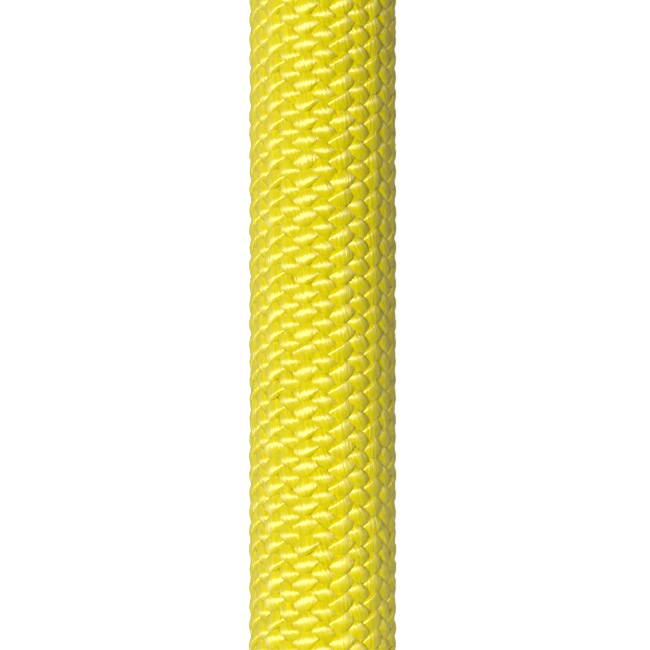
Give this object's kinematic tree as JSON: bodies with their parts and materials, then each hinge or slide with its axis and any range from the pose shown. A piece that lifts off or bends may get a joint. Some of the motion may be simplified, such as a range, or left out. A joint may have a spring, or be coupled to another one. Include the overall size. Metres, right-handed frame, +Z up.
{
  "type": "dynamic climbing rope",
  "caption": "Kernmantle climbing rope with a braided yellow sheath over a core of twisted strands, wound into a flat tied coil with one straight lead.",
  "frame": {"origin": "on the rope's axis, in the middle of the straight lead", "axes": "+Y along the lead towards the coil, -Y towards its free end, +Z up from the surface that the rope lies on"},
  "size_m": [0.3398, 0.34, 0.0434],
  "materials": {
    "sheath_yarn": "glossy polyamide filament yarn, braided two over two",
    "core_yarn": "white twisted polyamide filament",
    "tracer_yarn": "dyed twisted yarn",
    "identification_tape": "thin plain film",
    "fused_polyamide": "hot-cut, melted yarn",
    "shrink_band": "plain shrink tube",
    "woven_tie": "woven polyester tape"
  },
  "bodies": {
    "root": {"coil_core": "core_yarn", "coil_sheath": "sheath_yarn", "coil_tie_1": "woven_tie", "coil_tie_2": "woven_tie", "coil_tie_3": "woven_tie", "core_strand_01": "core_yarn", "core_strand_02": "core_yarn", "core_strand_03": "core_yarn", "core_strand_04": "core_yarn", "core_strand_05": "core_yarn", "core_strand_06": "core_yarn", "core_strand_07": "core_yarn", "core_strand_08": "core_yarn", "core_strand_09": "core_yarn", "core_strand_10": "core_yarn", "core_strand_11": "core_yarn", "core_strand_12": "core_yarn", "identification_tape": "identification_tape", "lead_end_band": "shrink_band", "lead_fused_end": "fused_polyamide", "lead_sheath": "sheath_yarn", "tail_core": "core_yarn", "tail_end_band": "shrink_band", "tail_fused_end": "fused_polyamide", "tail_sheath": "sheath_yarn", "tracer_yarn": "tracer_yarn"}
  },
  "joints": []
}
